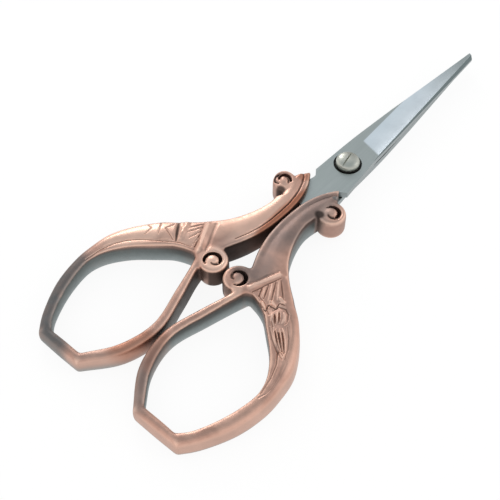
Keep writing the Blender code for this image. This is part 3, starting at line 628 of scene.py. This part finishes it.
def right_feather():
    """A feather drawn to one tip, with fine barbs, the gaps between them and a line along each side."""
    made = [stroke([(17.2, -44.9), (18.9, -46.1), (20.6, -47.4)], 1.0, 0.10, 0.6)]
    for barb in ([(16.5, -45.2), (18.5, -46.9), (20.4, -48.2), (22.4, -49.0)],
                 [(17.2, -45.3), (19.3, -47.1), (21.3, -48.5), (22.3, -48.9)],
                 [(17.9, -44.9), (19.9, -46.7), (21.8, -48.4), (22.4, -48.9)],
                 [(18.3, -44.4), (20.2, -46.1), (22.0, -48.2), (22.5, -48.9)]):
        made.append(stroke(barb, 0.15, 0.24, 0.4))
    for gap in ([(17.3, -45.7), (18.9, -47.05), (20.9, -48.4)],
                [(18.0, -45.5), (19.7, -47.0), (21.5, -48.5)],
                [(18.6, -45.1), (20.2, -46.6), (21.9, -48.4)]):
        made.append(stroke(gap, 0.11, -0.22, 0.4))
    for border in ([(18.6, -43.4), (20.4, -45.2), (21.9, -47.3), (22.7, -49.2)],
                   [(15.9, -45.6), (17.9, -47.3), (20.2, -48.7), (22.4, -49.5)]):
        made.append(stroke(border, 0.18, -0.20, 0.4))
    return made + [stroke(PANEL_EDGE, 0.22, -0.10, 0.4)]


def left_relief():
    """A band with a stepped side, pleats, a few knops, a cross slot and engraved chevron strokes."""
    made = [
        stroke(ARM_BEAD, 0.21, -0.28, 0.3),
        stroke([(7.3, -41.4), (10.4, -34.9)], 0.40, 0.22),
        stroke([(6.2, -40.2), (9.1, -33.9)], 0.40, -0.17),
        stroke([(8.3, -41.6), (11.2, -35.4)], 0.13, -0.16),
    ]
    made += fan([(8.7, -41.0), (9.4, -40.7), (11.0, -40.1), (12.3, -39.2), (12.9, -38.0)],
                [(9.4, -38.6), (9.9, -37.7), (10.2, -37.0), (10.7, -36.0), (11.3, -35.5)], -0.18)
    for out, back in ((13.9, -37.8), (13.3, -39.4), (12.7, -40.7)):
        made.append(stroke([(out - 0.2, back - 0.3), (out + 0.2, back + 0.3)], 0.5, 0.26))
    return made + [
        stroke([(15.7, -38.3), (14.3, -40.2), (12.8, -42.2)], 0.40, -0.30, 0.4),
        stroke([(12.9, -42.5), (11.6, -42.1)], 0.13, -0.16, 0.2),
        stroke([(16.0, -39.3), (16.6, -41.4), (13.3, -42.5)], 0.13, -0.18, 0.1),
        stroke([(18.6, -40.6), (16.8, -43.4)], 0.13, -0.18, 0.1),
        stroke([(21.2, -42.7), (18.9, -43.3), (18.9, -45.4)], 0.13, -0.18, 0.1),
    ]


RIGHT_RELIEF = shared_relief() + right_band() + right_bud() + right_feather()
LEFT_RELIEF = shared_relief() + left_relief()


def from_line(out, back, points):
    """Distance from a line, and how far along it, as a share, the nearest place lies."""
    points = np.array(points, float)
    near = np.full(len(out), np.inf)
    along = np.zeros(len(out))
    lengths = np.hypot(*np.diff(points, axis=0).T)
    before = np.concatenate([[0], np.cumsum(lengths)])
    for index, (start, end) in enumerate(zip(points, points[1:])):
        way = (end - start) / lengths[index]
        reach = np.clip((out - start[0]) * way[0] + (back - start[1]) * way[1], 0, lengths[index])
        far = np.hypot(out - start[0] - reach * way[0], back - start[1] - reach * way[1])
        closer = far < near
        near = np.where(closer, far, near)
        along = np.where(closer, (before[index] + reach) / before[-1], along)
    return near, along


def relief_height(out, back, strokes):
    """Height change and cut depth, in mm, and how far each plan place stands on a fine ridge."""
    height = np.zeros(len(out))
    cut = np.zeros(len(out))
    lift = np.zeros(len(out))
    for line in strokes:
        near, along = from_line(out, back, line["points"])
        thinner = line["taper"] * (1 - np.clip(np.minimum(along, 1 - along) / STROKE_ENDS, 0, 1))
        half = line["half"] * (1 - thinner)
        change = line["height"] * rise(1 - near / (2 * half), 0, 1) * (1 - 0.4 * thinner)
        share = np.clip(change / line["height"], 0, 1)
        if line["height"] < 0:
            # Through a raised place a cut goes almost as deep as beside it
            deeper = np.minimum(change + np.maximum(height, 0) * 0.2, height)
            height = np.where(change < 0, np.minimum(height + change, deeper), height)
            cut = np.maximum(cut, -change)
            lift = lift * (1 - share)
        else:
            height = height + change
            cut = cut * (1 - share * 0.7)
            if line["half"] < FINE_STROKE:
                lift = np.maximum(lift, share)
    return height, cut, lift


# Wear and painted light. Each place is its middle, half length, half width, turn in degrees, and strength.
# Tarnish dulls the plate, rubbed places get painted highlights as well as rubbing, and a painted red
# reflection lies where the handles meet.

RIGHT_WEAR = {
    "tarnish": [((3.6, -21.0), 15.0, 5.0, 88, 0.68), ((4.0, -36.5), 6.0, 5.0, 90, 0.65),
                ((1.6, -54.0), 13.0, 4.0, 90, 0.10), ((4.6, -68.5), 10.0, 4.2, -60, 0.65),
                ((16.9, -43.6), 7.5, 3.0, -48, 0.15), ((5.3, -10.9), 1.5, 0.8, 20, 1.0)],
    # rubbed places, which also carry painted highlights
    "rubbed_and_highlit": [((7.2, -14.6), 3.4, 3.4, 0, 0.35), ((23.5, -62.5), 9.0, 4.0, 100, 0.25),
               ((22.1, -46.9), 7.0, 2.4, -52, 0.2), ((5.5, -45.0), 5.0, 1.6, -75, 0.7)],
    # painted red reflection where the handles face each other
    "red_reflection": [((2.4, -63.5), 6.0, 2.2, -66, 0.35)],
}
LEFT_WEAR = {
    "tarnish": [((24.6, -65.0), 10.5, 4.8, 86, 0.95), ((18.0, -72.0), 10.0, 4.6, 37, 1.0),
                ((2.0, -54.0), 13.0, 4.0, 90, 0.12), ((5.0, -72.5), 7.0, 4.5, -30, 0.25),
                ((3.4, -36.5), 5.0, 3.0, 90, 0.35), ((0.6, -22.0), 16.0, 1.3, 88, 0.5)],
    # rubbed places, which also carry painted highlights
    "rubbed_and_highlit": [((4.4, -25.0), 13.0, 4.0, 86, 0.62), ((7.5, -32.5), 6.0, 4.0, -50, 0.4),
               ((21.0, -47.0), 8.5, 4.0, -52, 0.85), ((13.5, -40.5), 7.0, 4.0, -25, 0.45),
               ((3.0, -40.5), 3.6, 3.6, 0, 1.0), ((6.5, -71.0), 7.0, 3.0, 20, 0.25)],
    # painted red reflection where the handles face each other
    "red_reflection": [((0.6, -22.0), 15.0, 1.7, 89, 0.9), ((2.4, -65.5), 6.0, 2.6, -62, 0.55),
            ((3.6, -9.8), 3.0, 1.6, -50, 0.6)],
}

# Painted shade for the dark gap where the outer scroll's tail meets the arm
TAIL_GAP_SHADE = [((5.4, -17.0), 1.3, 1.1, 0, 0.85)]


def worn_places(out, back, places):
    """How strongly a kind of wear or painted light touches each plan place."""
    worn = np.zeros(len(out))
    for (x, y), long, wide, turn, strength in places:
        lean = math.radians(turn)
        along = ((out - x) * math.cos(lean) + (back - y) * math.sin(lean)) / long
        across = (-(out - x) * math.sin(lean) + (back - y) * math.cos(lean)) / wide
        worn = np.maximum(worn, strength * fall(np.hypot(along, across), 0.55, 1.1))
    return worn


# Cast handles

def narrower_scroll(co, side, share):
    """Draws the outer scroll in towards its arm by a share of its width."""
    out, back = plan_places(co, side)
    out = out - OUTER_SCROLL[0]
    back = back - OUTER_SCROLL[1]
    along = out * ARM_WAY[0] + back * ARM_WAY[1]
    shift = share * np.clip(ARM_REACH - along, 0, None) * fall(np.hypot(out, back), *SCROLL_FADE)
    moved = co.copy()
    moved[:, 0] += side * shift * ARM_WAY[0] * MM
    moved[:, 1] += shift * ARM_WAY[1] * MM
    return moved


def cast_skin(node, side, narrowing):
    """The frame's solid with a softened skin, crisper at the scrolls."""
    handle = merged_copy(node, node + "_casting")
    skin = handle.modifiers.new("skin", "REMESH")
    skin.mode = "VOXEL"
    skin.voxel_size = SKIN_GRAIN
    mesh = carry_out(handle)
    co = vertex_array(mesh)
    crisp = smoothed(mesh, co, SCROLL_ROUNDS)
    soft = smoothed(mesh, crisp, SOFT_ROUNDS - SCROLL_ROUNDS)
    share = near_scrolls(*plan_places(co, side), SCROLL_CRISP)[:, None]
    move_points(mesh, narrower_scroll(soft + (crisp - soft) * share, side, narrowing))
    return handle


def finer_faces(mesh, side, strokes):
    """Quarters the upper faces that a stroke reaches, which is a little over twice its half width."""
    work = bmesh.new()
    work.from_mesh(mesh)
    work.faces.ensure_lookup_table()
    middles = np.array([face.calc_center_median() for face in work.faces])
    ups = np.array([face.normal.z for face in work.faces])
    out, back = plan_places(middles, side)
    close = np.zeros(len(out), bool)
    for line in strokes:
        close |= from_line(out, back, line["points"])[0] < 2.2 * line["half"] + 0.12
    close &= (ups > FACE_UP) & (middles[:, 2] > FACE_LOW * MM)
    edges = {edge.index: edge for index in np.nonzero(close)[0] for edge in work.faces[index].edges}
    bmesh.ops.subdivide_edges(work, edges=list(edges.values()), cuts=1, use_grid_fill=True)
    work.to_mesh(mesh)
    work.free()


def carve(mesh, side, strokes):
    """Works the relief into the face, and gives its cuts, its fine ridges and what counts as face."""
    co = vertex_array(mesh)
    up = vertex_array(mesh, "normal")[:, 2]
    height, cut, lift = relief_height(*plan_places(co, side), strokes)
    on_face = rise(up, FACE_UP, 0.8) * rise(co[:, 2] / MM, FACE_LOW, FACE_LOW + 0.4)
    co[:, 2] = np.minimum(co[:, 2] + height * on_face * MM, cad_box[1][2] - 0.02 * MM)
    move_points(mesh, co)
    return SimpleNamespace(cut=cut, lift=lift, on_face=on_face)


def surface_lay(mesh, side):
    """Where each point of a handle lies and how it faces: up, out from the centre plane, in to the opening.

    Places and the bulge are in mm, and a bulge below zero is a hollow. The strut is the rod on the centre
    side of the opening.
    """
    co = vertex_array(mesh)
    normal = vertex_array(mesh, "normal")
    out, back = plan_places(co, side)
    up = normal[:, 2]
    outward = side * normal[:, 0]
    in_loop = fall(back, *LOOP_START)
    gentler = np.where(in_loop > 0.5, 0.0, 0.22)   # on the arm, gentler slopes count as walls too
    to_middle = np.stack([OPENING_MIDDLE[0] - out, OPENING_MIDDLE[1] - back], 1)
    to_middle /= np.linalg.norm(to_middle, axis=1)[:, None]
    return SimpleNamespace(
        out=out, back=back, high=co[:, 2] / MM, up=up, outward=outward, in_loop=in_loop,
        bulge=((co - smoothed(mesh, co, HOLLOW_ROUNDS)) * normal).sum(1) / MM,
        upright=fall(up, 0.2 + gentler, 0.55 + gentler) * fall(-up, 0.5, 0.8),
        inward=outward * to_middle[:, 0] + normal[:, 1] * to_middle[:, 1],
        strut=rise(-outward, 0.2, 0.5) * fall(out, 6, 9) * rise(back, -66, -60))


def painted_recess_shade(lay, relief):
    """Painted shade, near black: in cuts and hollows, on the strut's and arm's inner walls, under the loop's
    rim and in the tail's gap.
    """
    under_rim_shade = 0.45 * lay.upright * lay.in_loop * rise(lay.inward, 0.1, 0.5) * rise(lay.high, 2.8, 4.6)
    return np.max([
        rise(relief.cut * relief.on_face, 0.04, 0.34),
        rise(-lay.bulge, 0.05, 0.20),
        0.8 * lay.strut * lay.upright * rise(lay.back, -62, -46),
        lay.upright * rise(-lay.outward, 0.1, 0.4) * (1 - lay.in_loop) * fall(lay.back, -40, -10),
        under_rim_shade * fall(lay.out, 10, 16),
        worn_places(lay.out, lay.back, TAIL_GAP_SHADE)], axis=0)


def painted_ridge_highlights(lay, relief):
    """Painted highlights: on bulges clear of cuts, on fine raised strokes, and on the rim of the opening."""
    rim_highlight = rise(lay.up, 0.42, 0.6) * fall(lay.up, 0.84, 0.95) * lay.in_loop
    rim_highlight = rim_highlight * rise(lay.inward, 0.0, 0.25) * rise(lay.high, 4.5, 5.2) * rise(lay.out, 8, 13)
    return np.max([
        rise(lay.bulge, 0.035, 0.12) * fall(relief.cut, 0.0, 0.04),
        0.9 * relief.lift * relief.on_face,
        0.75 * rim_highlight], axis=0)


def grey_walls(lay, painted_foot_top):
    """Grey: the opening's walls, the strut, the arm's outer wall, and the foot of every wall, where it is
    painted shade and painted reflection of the table.
    """
    # the foot: painted shade on copper walls, painted reflection of the table on grey ones
    foot = 0.9 * fall(lay.high, 0.4, painted_foot_top)
    in_loop = np.max([rise(lay.inward, 0.0, 0.35), foot, 0.85 * lay.strut], axis=0)
    on_arm = np.maximum(rise(lay.outward, 0.0, 0.3), foot)
    grey = lay.in_loop * in_loop + (1 - lay.in_loop) * on_arm
    grey = grey * (1 - near_scrolls(lay.out, lay.back, SCROLL_COPPER) * (1 - foot))
    wall_top = LOOP_WALL_TOP + (ARM_WALL_TOP - LOOP_WALL_TOP) * (1 - lay.in_loop)
    return lay.upright * grey * (1 - 0.8 * rise(lay.high - wall_top, 0, 1))


def paint(mesh, name, values):
    layer = mesh.attributes.new(name, "FLOAT", "POINT")
    layer.data.foreach_set("value", np.clip(values, 0, 1).astype(np.float32))


def make_handle(node, body, side, strokes, wear, painted_foot_top, narrowing):
    """The cast handle: the frame's solid with a softened skin, its relief, its worn finish and its painted
    light and shade.
    """
    handle = cast_skin(node, side, narrowing)
    mesh = handle.data
    finer_faces(mesh, side, strokes)
    relief = carve(mesh, side, strokes)
    lay = surface_lay(mesh, side)
    tarnish = worn_places(lay.out, lay.back, wear["tarnish"])
    rubbed_and_highlit = worn_places(lay.out, lay.back, wear["rubbed_and_highlit"])
    red_reflection = worn_places(lay.out, lay.back, wear["red_reflection"])
    # painted highlight on the loop's flanks that face away from the opening
    flank_highlight = 0.4 * lay.in_loop * rise(-lay.inward, 0.2, 0.5) * fall(lay.up, 0.3, 0.7) * (1 - lay.strut)
    # painted shade in recesses, cuts, hollows, on inner walls and under the rim
    paint(mesh, "recess_shade", painted_recess_shade(lay, relief))
    # painted highlights on bulges, fine ridges and the opening's rim
    paint(mesh, "ridge_highlight", painted_ridge_highlights(lay, relief))
    # grey wall tone with painted shade and painted reflection
    paint(mesh, "wall", grey_walls(lay, painted_foot_top) * (1 - 0.8 * red_reflection))
    # tarnish, with painted shade on every upright side
    paint(mesh, "tarnish", np.maximum(tarnish, 0.3 * lay.upright))
    # painted red reflection between the handles
    paint(mesh, "red_reflection", red_reflection)
    # rubbed places and the loop's flanks, with painted highlights
    paint(mesh, "rubbed_and_highlit", np.maximum(rubbed_and_highlit * (1 - lay.upright), flank_highlight))
    mesh.shade_smooth()
    mesh.materials.append(COPPER)
    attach(handle, body)
    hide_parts(node)


# Blades, screw and washer

def make_blade(node, body, material):
    """A blade with slightly broken edges."""
    blade = merged_copy(node, node + "_ground")
    work = bmesh.new()
    work.from_mesh(blade.data)
    bmesh.ops.dissolve_limit(work, angle_limit=math.radians(1.5), verts=work.verts, edges=work.edges)
    break_edges(work, BLADE_CORNER, BLADE_BREAK)
    work.to_mesh(blade.data)
    work.free()
    blade.data.shade_smooth()
    weigh = blade.modifiers.new("weigh", "WEIGHTED_NORMAL")
    weigh.weight = 100
    carry_out(blade).materials.append(material)
    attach(blade, body)
    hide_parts(node)


def turned_screw(foot, top):
    """The screw without its slot: crown, straight head, shank and the peened foot."""
    profile = [(0.0, top)]
    for step in range(1, CROWN_STEPS + 1):
        lean = math.radians(90) * step / CROWN_STEPS
        profile.append((HEAD_RADIUS * math.sin(lean) ** CROWN_POWER,
                        top - CROWN_HEIGHT + CROWN_HEIGHT * max(0.0, math.cos(lean)) ** CROWN_POWER))
    under = top - HEAD_HEIGHT
    peen = foot + PEEN_HEIGHT
    profile += [(HEAD_RADIUS, under), (SHANK_RADIUS, under), (SHANK_RADIUS, peen), (PEEN_RADIUS, peen),
                (PEEN_FOOT, foot), (0.0, foot)]
    work = bmesh.new()
    line = [work.verts.new((radius, 0, height)) for radius, height in profile]
    edges = [work.edges.new(pair) for pair in zip(line, line[1:])]
    bmesh.ops.spin(work, geom=line + edges, cent=(0, 0, 0), axis=(0, 0, 1), angle=math.radians(360),
                   steps=TURNED_STEPS, use_merge=True)
    bmesh.ops.remove_doubles(work, verts=work.verts, dist=0.0001 * MM)
    bmesh.ops.recalc_face_normals(work, faces=work.faces)
    bmesh.ops.translate(work, vec=(PIVOT.x, PIVOT.y, 0), verts=work.verts)
    return add_object("pivot_screw_turned", finish_mesh(work, "pivot_screw_turned"))


def cut_slot(screw, top):
    work = bmesh.new()
    bmesh.ops.create_cube(work, size=1.0)
    bmesh.ops.scale(work, vec=(SLOT_WIDTH, 3 * HEAD_RADIUS, 2 * SLOT_DEPTH), verts=work.verts)
    cutter = add_object("slot_cutter", finish_mesh(work, "slot_cutter"))
    cutter.location = (PIVOT.x, PIVOT.y, top)
    cutter.rotation_euler = (0, 0, SLOT_TURN)
    slot = screw.modifiers.new("slot", "BOOLEAN")
    slot.object = cutter
    slot.solver = "EXACT"
    carry_out(screw)
    bpy.data.objects.remove(cutter)


def make_screw():
    """The pivot screw's own turned shape, with a finer slot than the solid has."""
    heights = vertex_array(frame["nodes"]["pivot_screw"].data)[:, 2]
    screw = turned_screw(heights.min(), heights.max())
    cut_slot(screw, heights.max())
    mesh = screw.data
    work = bmesh.new()
    work.from_mesh(mesh)
    break_edges(work, SCREW_CORNER, SCREW_BREAK)
    work.to_mesh(mesh)
    work.free()
    mesh.shade_smooth()
    mesh.set_sharp_from_angle(angle=SCREW_CORNER)
    mesh.materials.append(SCREW_STEEL)
    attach(screw, "lower_half")
    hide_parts("pivot_screw")


def dress(node, material):
    """Gives a frame node its finish."""
    obj = frame["nodes"][node]
    obj.data.materials.clear()
    obj.data.materials.append(material)


make_camera()
make_world()
make_table()
make_light("key_light", place=(-0.55, 0.35, 0.32), size=0.30, power=1.05)
make_light("fill_light", place=(0.45, 0.45, 0.45), size=0.40, power=0.3)
bpy.context.scene.view_settings.view_transform = "Standard"

make_handle("right_handle", "lower_half", 1, RIGHT_RELIEF, RIGHT_WEAR, painted_foot_top=1.6, narrowing=0)
make_handle("left_handle", "upper_half", -1, LEFT_RELIEF, LEFT_WEAR, painted_foot_top=3.4, narrowing=0.2)
make_blade("upper_blade", "upper_half", UPPER_STEEL)
make_blade("lower_blade", "lower_half", LOWER_STEEL)
make_screw()
dress("pivot_washer", BLACKENED)
